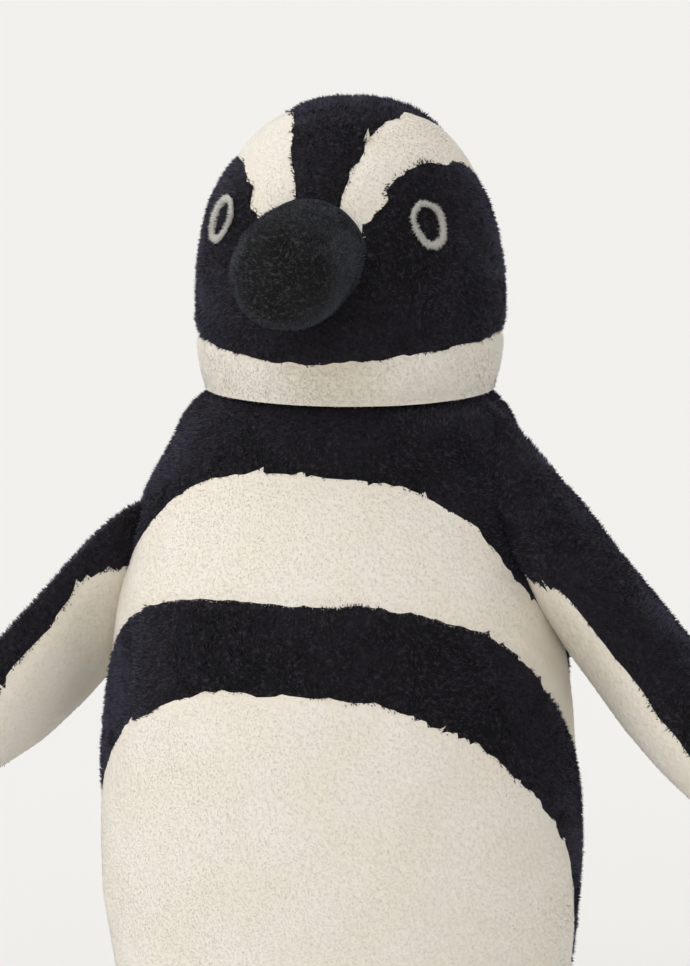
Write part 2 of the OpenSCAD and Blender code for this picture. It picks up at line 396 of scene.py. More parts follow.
# %% [markdown]
# ## A flipper's form
# Each flipper is a stuffed paddle, thick at the shoulder and flattening to a round tip. Its hinge in the CAD
# model gives its place and its chord; the span is square to the chord. Both flippers are the same function
# in two frames, which is safer than mirroring a finished mesh and turning it the right way out afterwards.

# %% Flipper frames and sections
# half thickness and half chord at the widest, and length from the hinge
flipper_t = 0.028
flipper_c = 0.042
flipper_l = 0.168
# share of the span, then shares of the half chord and, for each side, of the outer and the inner half
# thickness: the two flippers of a soft toy are never filled alike
blade_knots = np.array(
    [
        [-0.43, 0.50, 1.75, 0.35, 0.26, 0.40],
        [-0.30, 0.68, 1.36, 0.48, 0.27, 0.52],
        [-0.17, 0.85, 1.14, 0.56, 0.27, 0.62],
        [0, 0.97, 1.04, 0.62, 0.28, 0.74],
        [0.12, 1, 0.99, 0.66, 0.29, 0.86],
        [0.30, 1, 0.96, 0.76, 0.30, 1.00],
        [0.54, 0.98, 0.90, 0.88, 0.31, 1.03],
        [0.77, 0.86, 0.74, 0.78, 0.31, 0.85],
        [0.91, 0.63, 0.50, 0.56, 0.27, 0.58],
        [0.975, 0.35, 0.27, 0.31, 0.17, 0.31],
        [1, 0, 0, 0, 0, 0],
    ]
)
# how far the cloth runs up the shoulder behind the hinge
FLIPPER_ROOTS = {"left": 0.082, "right": 0.034}
# how far inside the chord plane the seam between the two faces lies at the hinge; it falls along the span
FLIPPER_SEAMS = {"left": 3 * MM, "right": 8 * MM}


def flipper_frame(side):
    """Hinge point, and the directions along the span, across the chord and out of the outer face."""
    joint = joints["flipper_lift_" + side]
    sign = 1 if side == "left" else -1
    chord = unit(np.array(joint["axis"], float))
    chord = chord * np.sign(chord[1])
    span = unit(np.cross(chord, [0, sign, 0]))
    out = np.cross(span, chord) * sign
    return np.array(joint["pos_m"], float), span, chord, out


def flipper_section(side, s):
    """Outer and inner half thickness and half chord at a distance along the span: the blade's knots, closed
    behind the hinge by a quarter of an ellipse."""
    close = np.sqrt(np.clip(1 - (np.minimum(s, 0) / FLIPPER_ROOTS[side]) ** 2, 0, 1))
    chord, *faces = through(blade_knots, s / flipper_l).T * close
    outer, inner = faces[:2] if side == "left" else faces[2:]
    return flipper_t * outer, flipper_t * inner, flipper_c * chord


def flipper_points(side, rows, cols, inset=0):
    """Rows go from the rounded root to the tip, crowded at both ends by a cosine; columns go round the
    section, half an ellipse of one thickness outside and half of another inside. Each half size is less by
    the inset, but never less than a tenth of itself."""
    hinge, span, chord, out = flipper_frame(side)
    root = FLIPPER_ROOTS[side]
    along = (1 - np.cos(np.pi * np.linspace(0, 1, rows))) / 2
    s = inset - root + along * (flipper_l + root - 2 * inset)
    outer, inner, wide = (np.maximum(half - inset, 0.1 * half) for half in flipper_section(side, s))
    for half in (outer, inner, wide):
        half[[0, -1]] = 0
    s, outer, inner, wide = (np.repeat(v, cols)[:, None] for v in (s, outer, inner, wide))
    turn = np.tile(2 * np.pi * np.arange(cols) / cols, rows)[:, None]
    thick = np.where(np.sin(turn) > 0, outer, inner)
    return hinge + s * span + wide * np.cos(turn) * chord + thick * np.sin(turn) * out


def inside_flipper(side, p, share):
    """True where a point lies within that share of the flipper's thickness and chord."""
    hinge, span, chord, out = flipper_frame(side)
    q = p - hinge
    s, height = q @ span, q @ out
    outer, inner, wide = flipper_section(side, s)
    thick = np.maximum(np.where(height > 0, outer, inner), 1e-4)
    r = (height / thick) ** 2 + ((q @ chord) / np.maximum(wide, 1e-4)) ** 2
    return (r < share**2) & (s > -FLIPPER_ROOTS[side]) & (s < flipper_l)


def flipper_seam(side, p):
    """Distance outwards from the seam between the two faces. Towards the shoulder the seam dips to the inner
    side, where it runs on from the chest's own seam."""
    hinge, span, _, out = flipper_frame(side)
    q = p - hinge
    s = q @ span
    return q @ out + FLIPPER_SEAMS[side] + 0.07 * s + 20 * MM * (1 - eased((s + 0.020) / 0.045))


print("left flipper frame", [v.round(3).tolist() for v in flipper_frame("left")])

# %% [markdown]
# ## Seam lines
# The colour bands meet along curved seams that fall from the chest round each flank. Seen from the side each
# seam is one curve, which is how a pattern cutter would draw it, so a panel is what lies in front of and
# below a curve. The signed distance to the curve decides which panel a lock belongs to, how deep the stitch
# pulls the cloth in, and where the edge of a panel is moved to.

# %% Side view curves, in millimetres: distance back, height
collar_line = [
    (-71, 372), (-62, 366), (-50, 348), (-38, 324), (-18, 302), (5, 284),
    (26, 255), (40, 215), (46, 170), (48, 120), (46, 60), (42, 0),
]
band_line = [
    (-92, 318.5), (-87, 318), (-70, 309.5), (-50, 295), (-29, 273), (-10, 253),
    (8, 236), (22, 208), (30, 175), (33, 130), (32, 60), (28, 0),
]
belly_line = [
    (-98, 279.5), (-91, 276), (-83, 268), (-65, 253), (-50, 234), (-32, 216),
    (-8, 182), (6, 158), (13, 125), (15, 60), (13, 0),
]
cheek_line = [
    (-54.5, 470), (-52, 477), (-45, 485.5), (-39, 493.5), (-24, 501), (-10, 502),
    (10, 499.5), (22, 491), (30, 476), (34, 455), (34, 421),
]
# the crown's edge seen from above: half width, distance back
crown_line = [
    (9.5, -54), (14.5, -42), (21.5, -16), (27, 0), (32, 12), (37, 30),
    (42, 42), (47, 52), (50, 56), (60, 80),
]
FAR = 700


def signed_distance(p, outline):
    """Distance from each flat point to a closed outline, positive inside: the nearest point of every
    segment, and a count of the segments that a ray from the point crosses."""
    best = np.full(len(p), 1e9)
    inside = np.zeros(len(p), bool)
    for a, b in zip(outline, np.roll(outline, -1, axis=0)):
        e = b - a
        t = np.clip(((p - a) @ e) / max(e @ e, 1e-12), 0, 1)
        best = np.minimum(best, np.linalg.norm(p - a - t[:, None] * e, axis=1))
        if a[1] != b[1]:
            crosses = (a[1] > p[:, 1]) != (b[1] > p[:, 1])
            inside ^= crosses & (p[:, 0] < a[0] + (p[:, 1] - a[1]) * e[0] / e[1])
    return np.where(inside, best, -best)


def rounded(line):
    """The same curve with two more points between each pair, on a smooth curve by distance along it."""
    line = np.array(line, float)
    run = np.concatenate([[0], np.cumsum(np.linalg.norm(np.diff(line, axis=0), axis=1))])
    fine = np.sort(np.concatenate([run + w * np.append(np.diff(run), 0) for w in (0, 1 / 3, 2 / 3)]))
    fine = np.unique(fine.round(6))
    return through(np.column_stack([run, line]), fine)


def before(line):
    """A function of points in space: how far inside the region in front of and below a side view curve."""
    curve = rounded(line)
    corners = [(-FAR, curve[0, 1])] + curve.tolist() + [(curve[-1, 0], -FAR), (-FAR, -FAR)]
    outline = np.array(corners) * MM * [1, grow]
    return lambda p: signed_distance(p[:, 1:], outline)


def crown_region():
    """How far inside the crown panel a point is: between the two edges seen from above, and not in front of
    the forehead below the beak's top."""
    curve = rounded(crown_line)
    right = [(8, -FAR)] + curve.tolist() + [(60, FAR)]
    left = [(-x, y) for x, y in right[::-1]]
    outline = np.array(right + left) * MM
    brow_y, brow_z = -20 * MM, 474 * MM * grow
    to_one_side = np.array([2 * MM, 0])

    def distance(p):
        front = np.maximum(p[:, 1] - brow_y, p[:, 2] - brow_z)
        return np.minimum(signed_distance(p[:, :2] - to_one_side, outline), front)

    return distance


to_collar, to_band, to_belly, to_cheek = map(before, (collar_line, band_line, belly_line, cheek_line))
to_crown = crown_region()
print("the collar's seam is drawn through", len(rounded(collar_line)), "points")

# %% Which panel a point belongs to
BODY_PANELS = ["belly", "breast_band", "chest", "collar", "back"]
HEAD_PANELS = ["throat_band", "crown_panel", "cheek", "brow_stripe"]


def throat_line(p):
    """Height of the throat seam: a little low in front and high at the sides, as the chin sags."""
    front = np.clip((head_y - p[:, 1]) / head_d, 0, 1)
    return throat_z + (3.5 - 8.0 * front**2) * MM


def body_seams(p, wander=0):
    """The panel number of each point on the body, and its distance to the nearest seam. wander moves the
    colour seams to and fro, as uneven pile does."""
    belly, band, collar = to_belly(p) + wander, to_band(p) + wander, to_collar(p) + wander
    panel = np.select([belly > 0, band > 0, collar > 0, p[:, 1] < collar_y], [0, 1, 2, 3], 4)
    shoulder = np.where(panel >= 3, np.abs(p[:, 1] - collar_y), 1.0)
    middle = 4.0 * MM + np.abs(p[:, 0])
    near = np.min(np.abs([belly, band, collar, middle, shoulder]), axis=0)
    return panel, near


def head_seams(p, wander=0):
    """The panel number of each point on the head, and its distance to the nearest seam."""
    throat = throat_line(p) - p[:, 2] + wander
    crown, cheek = to_crown(p) + wander, to_cheek(p) - wander
    panel = np.select([throat > 0, crown > 0, cheek > 0], [0, 1, 2], 3)
    middle = np.where(panel == 1, 1.0, 4.0 * MM + np.abs(p[:, 0]))
    near = np.min(np.abs([throat, crown, np.where(crown > 0, 1.0, cheek), middle]), axis=0)
    return panel, near


print("panels", BODY_PANELS, HEAD_PANELS)


# %% Move points onto a seam
def snap(points, normals, field, reach):
    """Moves the points that lie within reach of a seam onto it, along the skin: the distance times the
    field's slope along the skin, over that slope's square. Where the field hardly changes along the skin,
    nothing moves."""
    d = field(points)
    step = 0.2 * MM
    slope = np.stack([(field(points + step * axis) - d) / step for axis in np.eye(3)], axis=1)
    slope -= np.sum(slope * normals, axis=1, keepdims=True) * normals
    square = np.sum(slope**2, axis=1)
    near = (np.abs(d) < reach * np.sqrt(square)) & (square > 0.05)
    moved = points.copy()
    moved[near] -= (d / np.maximum(square, 0.05))[near, None] * slope[near]
    return moved


# %% [markdown]
# ## Soft lumps
# Loose filling presses on the cloth from inside in soft lumps a few centimetres wide, and each seam pulls
# the cloth in. A cloth simulation could puff the panels, but the shape here is already the puffed one, and
# these lumps are low and wide, so two sizes of noise and a groove along each seam give the same surface in a
# fraction of the time and exactly the same on each run.

# %% Lumps and stitch grooves
PILE_RISE = 1.5 * MM


def stuffed(points, normals, near, tuck=0, lump=1.1 * MM, groove=0.8 * MM):
    """The backing cloth under the pile: the form moved in by the pile's height, then in and out by two
    sizes of noise, in along each seam by a bell-shaped groove, and in by tuck."""
    swell = lump * (0.7 * noise(points, 0.034, 11) + 0.3 * noise(points, 0.013, 17))
    pull = groove * np.exp(-((near / (3.2 * MM)) ** 2))
    return points + (swell - pull - PILE_RISE - tuck)[:, None] * normals


def neck_tuck(p):
    """How far the cloth turns in towards the neck's crease, as a bell over the height from it."""
    return 1.0 * MM * np.exp(-(((p[:, 2] - crease_z) / (4.5 * MM)) ** 2))


print("the pile stands", PILE_RISE / MM, "mm over the cloth")

# %% [markdown]
# ## Locks of pile
# The cloth's pile is a dense stand of fine fibres, sheared to one height, that cling together in little
# tapering locks. Each lock is one closed four-sided spike, the least mesh that has a root, a tip and a
# thickness. The locks lean a little, follow slow swirls, and open in shallow wandering partings. Their
# shading normals are drawn towards the cut face's own slope, so that the mass shades softly, as wool does.

# %% Scatter roots evenly
def scatter(points, tris, normals, density):
    """Roots at a number to a square metre: equal steps through the running total of the triangles' areas,
    each jittered, with a random place in its triangle. Returns places and normals."""
    p = points[tris]
    area = np.linalg.norm(np.cross(p[:, 1] - p[:, 0], p[:, 2] - p[:, 0]), axis=1) / 2
    total = np.cumsum(area)
    count = int(total[-1] * density)
    pick = (np.arange(count) + random.random(count)) * total[-1] / count
    which = np.minimum(np.searchsorted(total, pick), len(tris) - 1)
    a, b = random.random((2, count))
    flip = a + b > 1
    a, b = np.where(flip, 1 - a, a), np.where(flip, 1 - b, b)
    w = np.stack([1 - a - b, a, b], axis=1)[:, :, None]
    return np.sum(p[which] * w, axis=1), unit(np.sum(normals[tris[which]] * w, axis=1))


# %% Kinds of pile
# length and its spread, base radius and how flat the base lies, lean, swirl, the distance between partings
# and their depth, and the softness of the shading; lengths in millimetres
KINDS = {
    "black_wool": dict(
        length=2.0, spread=0.2, radius=0.46, flat=0.8, lean=0.8, swirl=2.0, wave=3.6, depth=0.85, soft=0.5
    ),
    "cream_wool": dict(
        length=1.25, spread=0.06, radius=0.55, flat=0.26, lean=2.6, swirl=0.3, wave=7.0, depth=0.03, soft=0.99
    ),
    "throat_wool": dict(
        length=1.6, spread=0.15, radius=0.55, flat=0.3, lean=2.0, swirl=0.9, wave=6.0, depth=0.12, soft=0.95
    ),
    "charcoal_felt": dict(
        length=1.4, spread=0.3, radius=0.32, flat=0.8, lean=1.1, swirl=3.5, wave=2.8, depth=0.7, soft=0.4
    ),
    "eye_wool": dict(
        length=1.6, spread=0.3, radius=0.28, flat=1.0, lean=0.35, swirl=2.5, wave=3.0, depth=0.2, soft=0.6
    ),
}
print("kinds of pile", sorted(KINDS))


# %% Partings and hummocks
def relief(p, wave, depth):
    """How far the pile's cut face stands out or in: narrow valleys along the lines where slow noise crosses
    nought, which wander over the cloth as partings do, and low hummocks between them. Also gives how deep in
    a valley the point lies, from 0 to 1."""
    valley_width = 0.16
    bent = p + 0.35 * wave * MM * noise3(p, 0.6 * wave * MM, 45)
    valley = np.exp(-((noise(bent, wave * MM, 41) / valley_width) ** 2))
    hummock = noise(p, 0.45 * wave * MM, 43)
    return depth * MM * (0.45 * hummock - 0.6 * valley), valley


# %% Grow locks
def grow_locks(root, normal, kind, flow=(0, 0, -1), shorten=None):
    """Spikes from their roots, which first move out or in with the relief. Each leans by the kind's tangent
    along the flow plus a slow swirl, and away from the relief's slope. Returns points, triangles, the values
    kept with the points, and shading normals."""
    k = KINDS[kind]
    wave, depth = k["wave"], k["depth"]
    count = len(root)
    high, parting = relief(root, wave, depth)
    step = 0.4 * MM
    climbs = [relief(root + step * axis, wave, depth)[0] - high for axis in np.eye(3)]
    tilt = np.stack(climbs, axis=1) / step
    tilt -= np.sum(tilt * normal, axis=1, keepdims=True) * normal
    root = root + high[:, None] * normal
    swirl = noise3(root, 0.022, 51) + 0.6 * noise3(root, 0.007, 61)
    along = np.asarray(flow, float) + k["swirl"] * 1.6 * swirl
    along = unit(along - np.sum(along * normal, axis=1, keepdims=True) * normal)
    scatter_way = random.normal(0, 0.20, (count, 3))
    lean = k["lean"] * (0.85 + 0.3 * random.random(count))[:, None]
    way = unit(normal + lean * along + scatter_way)
    way = unit(way - 0.5 * tilt)
    length = k["length"] * MM * (1 + k["spread"] * random.normal(0, 1, count).clip(-2, 2))
    if shorten is not None:
        length *= shorten
    tip = root + way * length[:, None]
    side = unit(np.cross(way, normal) + 0.3 * random.normal(0, 1, (count, 3)))
    other = k["flat"] * np.cross(way, side)
    radius = k["radius"] * MM * (0.8 + 0.4 * random.random(count))[:, None]
    turns = 2 * np.pi * np.arange(3) / 3
    spokes = [np.cos(t) * side + np.sin(t) * other for t in turns]
    sunk = root - 0.5 * MM * normal
    points = np.stack([sunk + radius * s for s in spokes] + [tip], axis=1)
    shade = np.stack([unit(s + 0.5 * way) for s in spokes] + [way], axis=1)
    shade = unit((1 - k["soft"]) * shade + k["soft"] * unit(normal - tilt)[:, None])
    first = 4 * np.arange(count)[:, None, None]
    faces = np.array([[0, 1, 3], [1, 2, 3], [2, 0, 3], [2, 1, 0]])[None] + first
    height = np.tile([0.0, 0.0, 0.0, 1.0], count)
    lock_value = np.repeat(random.random(count), 4)
    values = {"height": height, "lock": lock_value, "parting": np.repeat(parting, 4)}
    return points.reshape(-1, 3), faces.reshape(-1, 3), values, shade.reshape(-1, 3)


# %% Painted shade under the chin and at the armpits
def worn(p):
    """How much warm painted shade the pile takes, from 0 to 1: a round bell of distance at each armpit and
    under the chin, where shade falls under the head and in the armpits' creases."""
    chin_width, pit_width = 26 * MM, 30 * MM
    chin = np.array([9 * MM, head_y - head_d, crease_z + 16 * MM])
    total = 0.9 * np.exp(-np.sum(((p - chin) / chin_width) ** 2, axis=1))
    for side in ("left", "right"):
        hinge, span, chord, out = flipper_frame(side)
        pit = hinge + 34 * MM * span - 16 * MM * out - 30 * MM * chord
        total = total + 0.6 * np.exp(-np.sum(((p - pit) / pit_width) ** 2, axis=1))
    return np.clip(total, 0, 1)


# %% Pieces with and without locks
def furred(name, kind, cloth, locks):
    """One piece from its backing cloth and its locks. The cloth's values are those near a lock's foot and
    partly in a parting, so the cloth seen between the locks is painted with the shade deep in the pile.
    """
    cloth_points, cloth_tris, cloth_shade = cloth
    points, tris, values, shade = locks
    n = len(cloth_points)
    still = {"height": 0.15, "lock": 0.5, "parting": 0.6}
    values = {key: np.concatenate([np.full(n, still[key]), values[key]]) for key in values}
    shade = np.concatenate([cloth_shade, shade])
    every = np.concatenate([cloth_points, points])
    # every point takes its share of the warm painted shade under the chin and at the armpits
    values["worn"] = worn(every)
    piece = make_mesh(name, every, np.concatenate([cloth_tris, tris + n]), values, shade)
    piece.data.materials.append(finishes[kind])
    print(f"{name}: {len(tris) // 4} locks, {len(piece.data.polygons)} triangles")
    return piece


def plain_piece(name, finish, points, tris, height=0.5, parting=0.5):
    """One piece without locks, whose values are the same all over it."""
    even = {"height": height, "lock": 0.5, "parting": parting}
    values = {key: np.full(len(points), value) for key, value in even.items()}
    piece = make_mesh(name, points, tris, values)
    piece.data.materials.append(finishes[finish])
    print(f"{name}: {len(tris)} triangles")
    return piece


# %% [markdown]
# ## Finishes
# A finish is written as sums: a small class wraps a socket, so that an expression on values adds the maths
# nodes for it. Each finish varies with the height along a lock, from lock to lock, and in slow patches over
# the toy, and the sheen of fine fibres at a grazing angle is one setting on the shader's own socket.

# %% Shader maths
class Value:
    """One number of a shader, with arithmetic."""

    def __init__(self, tree, socket):
        self.tree, self.socket = tree, socket

    def node(self, kind, settings=None, inputs=None, output=0):
        """Adds a node: its settings first, then the values or links of its sockets."""
        n = self.tree.nodes.new(kind)
        for key, value in (settings or {}).items():
            setattr(n, key, value)
        for key, value in (inputs or {}).items():
            if isinstance(value, Value):
                self.tree.links.new(value.socket, n.inputs[key])
            else:
                n.inputs[key].default_value = value
        return Value(self.tree, n.outputs[output])

    def maths(self, operation, a, b=0.0, clamp=False):
        return self.node("ShaderNodeMath", {"operation": operation, "use_clamp": clamp}, {0: a, 1: b})

    def __add__(self, other):
        return self.maths("ADD", self, other)

    __radd__ = __add__

    def __mul__(self, other):
        return self.maths("MULTIPLY", self, other)

    __rmul__ = __mul__

    def __sub__(self, other):
        return self.maths("SUBTRACT", self, other)

    def __rsub__(self, other):
        return self.maths("SUBTRACT", other, self)

    def __pow__(self, other):
        return self.maths("POWER", self, other)

    def clamped(self):
        return self.maths("ADD", self, 0.0, clamp=True)

    def mix(self, low, high):
        """The colour from low to high as this value goes from 0 to 1."""
        return self.node(
            "ShaderNodeMix",
            {"data_type": "RGBA", "clamp_factor": True},
            {0: self, 6: low, 7: high},
            output=2,
        )


# %% A material and its clouds
def new_finish(name):
    """A material with one shader, the value that starts its sums, and the piece's own coordinates."""
    material = bpy.data.materials.new(name)
    material.use_nodes = True
    tree = material.node_tree
    shader = tree.nodes["Principled BSDF"]
    start = Value(tree, None)
    place = start.node("ShaderNodeTexCoord", output="Object")
    return material, shader, start, place


def patches(start, place, scale, detail=2.0, rough=0.5):
    """Cloudy noise over the toy, from 0 to 1; scale is in turns to a metre."""
    inputs = {"Vector": place, "Scale": scale, "Detail": detail, "Roughness": rough}
    return start.node("ShaderNodeTexNoise", None, inputs)


# %% Wool
def wool(name, root, tip, patch, shade_tone, roughness, sheen, tint, vary, grain=0.25):
    """Pile: the colour climbs from a darker root to the tip, which paints the shade deep in the pile, then
    moves a little towards patch in slow clouds. vary is how much it differs from lock to lock and in clumps
    of a few locks, and how much the partings are darkened as painted shade; the colour given after patch is
    the warm painted shade under the chin and at the armpits."""
    material, shader, start, place = new_finish(name)
    height = start.node("ShaderNodeAttribute", {"attribute_name": "height"}, output="Fac")
    lock = start.node("ShaderNodeAttribute", {"attribute_name": "lock"}, output="Fac")
    parting = start.node("ShaderNodeAttribute", {"attribute_name": "parting"}, output="Fac")
    clouds = patches(start, place, 38.0)
    fine = patches(start, place, 520.0)
    uneven = vary * (lock - 0.5) + 2.4 * vary * (fine - 0.5)
    # painted shade: the colour is darker towards a lock's root and in the partings, for the shade deep in the
    # pile
    climb = (height**0.8 * 0.85 + uneven - 0.5 * vary * parting**2).clamped()
    colour = climb.mix((*root, 1), (*tip, 1))
    drift = ((clouds - 0.42) * 1.6).clamped()
    colour = drift.mix(colour, (*patch, 1))
    # painted shade: under the chin and at the armpits the colour moves, in mottled patches, towards a warm
    # darker tone
    shade_amount = start.node("ShaderNodeAttribute", {"attribute_name": "worn"}, output="Fac")
    colour = (shade_amount * (0.55 + 0.9 * fine)).clamped().mix(colour, (*shade_tone, 1))
    start.tree.links.new(colour.socket, shader.inputs["Base Color"])
    rough = roughness + 0.1 * (fine - 0.5)
    start.tree.links.new(rough.socket, shader.inputs["Roughness"])
    bump = start.node(
        "ShaderNodeBump", None, {"Strength": grain, "Distance": 0.0004, "Height": fine}, output="Normal"
    )
    start.tree.links.new(bump.socket, shader.inputs["Normal"])
    shader.inputs["Sheen Weight"].default_value = sheen
    shader.inputs["Sheen Roughness"].default_value = 0.45
    shader.inputs["Sheen Tint"].default_value = (*tint, 1)
    shader.inputs["Specular IOR Level"].default_value = 0.25
    return material


# the fourth colour of each wool is its painted shade under the chin and at the armpits
WOOLS = {
    "black_wool": dict(
        root=(0.0012, 0.0010, 0.0014), tip=(0.0385, 0.0305, 0.0470), patch=(0.0115, 0.0092, 0.0140),
        shade_tone=(0.0115, 0.0092, 0.0140), roughness=0.8, sheen=0.13, tint=(0.46, 0.49, 0.84), vary=1.7,
    ),
    "cream_wool": dict(
        root=(0.83, 0.76, 0.64), tip=(0.885, 0.880, 0.860), patch=(0.870, 0.850, 0.810),
        shade_tone=(0.68, 0.62, 0.50), roughness=0.9, sheen=0.08, tint=(1.0, 0.99, 0.97), vary=0.08,
    ),
    "charcoal_felt": dict(
        root=(0.0016, 0.0016, 0.0019), tip=(0.056, 0.056, 0.062), patch=(0.015, 0.015, 0.016),
        shade_tone=(0.015, 0.015, 0.016), roughness=0.85, sheen=0.09, tint=(0.48, 0.58, 0.84), vary=1.9,
    ),
    "eye_wool": dict(
        root=(0.66, 0.64, 0.60), tip=(0.94, 0.92, 0.87), patch=(0.88, 0.86, 0.80),
        shade_tone=(0.88, 0.86, 0.80), roughness=0.8, sheen=0.2, tint=(1.0, 1.0, 1.0), vary=0.6,
    ),
}
finishes = {name: wool(name, **values) for name, values in WOOLS.items()}
print("wools", sorted(finishes))


# %% Filling and cotton
def fibre_mass(name, low, high, scale):
    """Loose filling or plain cotton: soft clouds of two tones with a matching bump."""
    material, shader, start, place = new_finish(name)
    clouds = patches(start, place, scale, detail=6.0, rough=0.65)
    start.tree.links.new(clouds.mix((*low, 1), (*high, 1)).socket, shader.inputs["Base Color"])
    bump = start.node(
        "ShaderNodeBump", None, {"Strength": 0.5, "Distance": 0.002, "Height": clouds}, output="Normal"
    )
    start.tree.links.new(bump.socket, shader.inputs["Normal"])
    shader.inputs["Roughness"].default_value = 0.9
    return material


finishes["filling"] = fibre_mass("filling", (0.70, 0.70, 0.69), (0.90, 0.90, 0.89), 120.0)
finishes["pellets"] = fibre_mass("pellets", (0.45, 0.36, 0.24), (0.66, 0.56, 0.40), 400.0)
print("finishes", sorted(finishes))

# %% [markdown]
# ## The body in panels
# One skin carries every body panel. It is cut along the seams, each part becomes a thin shell with its own
# locks, and a lock near a colour seam may stand on the other side of it, which gives the torn, wispy edge
# that two colours of pile have where they meet. Locks that the flippers' roots cover are left out.

# %% Cut a form into panels
DENSITY = 1.08e6
WANDER = 1.35 * MM
COLOURS = {
    "belly": "cream_wool", "breast_band": "black_wool", "chest": "cream_wool", "collar": "black_wool",
    "back": "black_wool", "throat_band": "cream_wool", "crown_panel": "black_wool", "cheek": "black_wool",
    "brow_stripe": "cream_wool",
}
# the throat's pile is the cream one, with longer and curlier locks
LOCKS = {"throat_band": "throat_wool"}


def stray(p):
    """How far the pile's colour strays over a seam: two sizes of noise."""
    return WANDER * (0.8 * noise(p, 0.010, 71) + 0.7 * noise(p, 0.004, 81))


def on_side(x, sign):
    """True for each x on the sign's side of the middle, and for every x when the sign is 0."""
    return (x * sign > 0) | (sign == 0)


def cut_and_grow(points, tris, seams, names, whole, body, keep, flow=(0, 0, -1)):
    """Sorts a form's triangles and roots by panel and by side of the centre seam, and makes one furred
    piece for each, whose locks shorten a little towards a seam. whole names the panels that cross the
    middle."""
    normals = vertex_normals(points, tris)
    _, near = seams(points)
    skin = stuffed(points, normals, near, neck_tuck(points))
    centre = points[tris].mean(axis=1)
    panel, _ = seams(centre, stray(centre))
    skin_normals = vertex_normals(skin, tris)
    root, normal = scatter(skin, tris, skin_normals, DENSITY)
    form_root = root + PILE_RISE * normal
    own = random.normal(0, 0.25 * MM, len(root))
    root_panel, root_near = seams(form_root, stray(form_root) + own)
    kept = keep(form_root)
    for number, name in enumerate(names):
        for ending, sign in [("", 0)] if name in whole else [("_left", 1), ("_right", -1)]:
            label = name + ending
            mine = (panel == number) & on_side(centre[:, 0], sign)
            roots = (root_panel == number) & on_side(form_root[:, 0], sign) & kept
            shorten = 1 - 0.15 * np.exp(-((root_near[roots] / (2.0 * MM)) ** 2))
            cloth = shell(skin, skin_normals, tris[mine], CLOTH_T)
            kind = LOCKS.get(name, COLOURS[name])
            locks = grow_locks(root[roots], normal[roots], kind, flow, shorten)
            piece = furred(label + "_pile", COLOURS[name], cloth, locks)
            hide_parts(label)
            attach(piece, body)


# %% Body panels
body_cols, body_rows = 224, 136
cell = neck_z / body_rows
body_skin = body_points(body_rows, body_cols)
body_tris = grid_triangles(body_rows, body_cols)
body_normals = vertex_normals(body_skin, body_tris)
for field in (to_collar, to_band, to_belly):
    body_skin = snap(body_skin, body_normals, lambda p: field(p) + stray(p), 0.6 * cell)


def clear_of_flippers(p):
    """True where a root is neither under a flipper nor under the base."""
    share, base_rise = 0.86, 5 * MM
    covered = inside_flipper("left", p, share) | inside_flipper("right", p, share)
    return ~covered & (p[:, 2] > base_rise)


cut_and_grow(body_skin, body_tris, body_seams, BODY_PANELS, (), "body", clear_of_flippers)

# %% [markdown]
# ## The head in panels
# The crown, two brow stripes, two cheeks and a throat band in two halves are cut from one dome in the same
# way. The locks leave a bare oval for each eye ring, and lie backwards from the beak.

# %% Eye ring places
eye_turns = {"left": math.radians(48.0), "right": math.radians(45.0)}
eye_lean = math.radians(13)
eye_z = 0.476 * grow
eye_half_w, eye_half_h = 7.0 * MM, 9.0 * MM
ring_r = 0.75 * MM


def eye_frame(side):
    """The direction an eye looks, and its own across and up directions, leaning towards the beak."""
    s, eye_turn = (1 if side == "left" else -1), eye_turns[side]
    look = np.array([s * math.sin(eye_turn), -math.cos(eye_turn), 0])
    level = np.array([math.cos(eye_turn), s * math.sin(eye_turn), 0])
    up = np.array([0, 0, 1.0])
    lean = -s * eye_lean
    across = math.cos(lean) * level - math.sin(lean) * up
    rise = math.sin(lean) * level + math.cos(lean) * up
    return look, across, rise


def eye_oval(p, side):
    """Distance outside an eye ring's middle line, roughly: the oval's own radius less one, times its mean
    half size. Far behind the face it is large."""
    look, across, rise = eye_frame(side)
    q = p - [0, head_y, eye_z]
    r = np.sqrt(((q @ across) / eye_half_w) ** 2 + ((q @ rise) / eye_half_h) ** 2)
    return np.where(q @ look > 0, (r - 1) * (eye_half_w + eye_half_h) / 2, 1.0)


# %% Head panels
head_cols = 176
head_skin = head_points(16, 60, head_cols)
head_rows = len(head_skin) // head_cols
head_tris = grid_triangles(head_rows, head_cols, last_pole=True)
head_normals = vertex_normals(head_skin, head_tris)
head_fields = (
    lambda p: throat_line(p) - p[:, 2] + stray(p),
    lambda p: to_crown(p) + stray(p),
    lambda p: to_cheek(p) - stray(p),
)
for field in head_fields:
    head_skin = snap(head_skin, head_normals, field, 1.5 * MM)

beak_base = np.array([0, -0.052, 0.463 * grow])
beak_r = 25.5 * MM


def clear_of_face(p):
    """True where a root is neither under an eye ring or the beak nor on the rim that turns in at the neck."""
    beak_share, bare_ring, bare_rim = 0.86, 0.8 * MM, 1.2 * MM
    ring = np.minimum(np.abs(eye_oval(p, "left")), np.abs(eye_oval(p, "right")))
    q = p - beak_base
    under_beak = (np.hypot(q[:, 0], q[:, 2]) < beak_share * beak_r) & (p[:, 1] < head_y)
    return (ring > bare_ring) & ~under_beak & (p[:, 2] > head_low + bare_rim)


cut_and_grow(
    head_skin, head_tris, head_seams, HEAD_PANELS, ("crown_panel",), "head", clear_of_face, (0, 0.5, -1)
)

# %% [markdown]
# ## Flippers
# A flipper has two panels, black outside and cream inside, sewn round the edge of the paddle. The real one
# has no hinge but a soft seam; here the pieces are not bent and keep the pose they are built in.

# %% Flipper panels
flipper_rows, flipper_cols = 60, 64
FILLING_INSET = 4.5 * MM


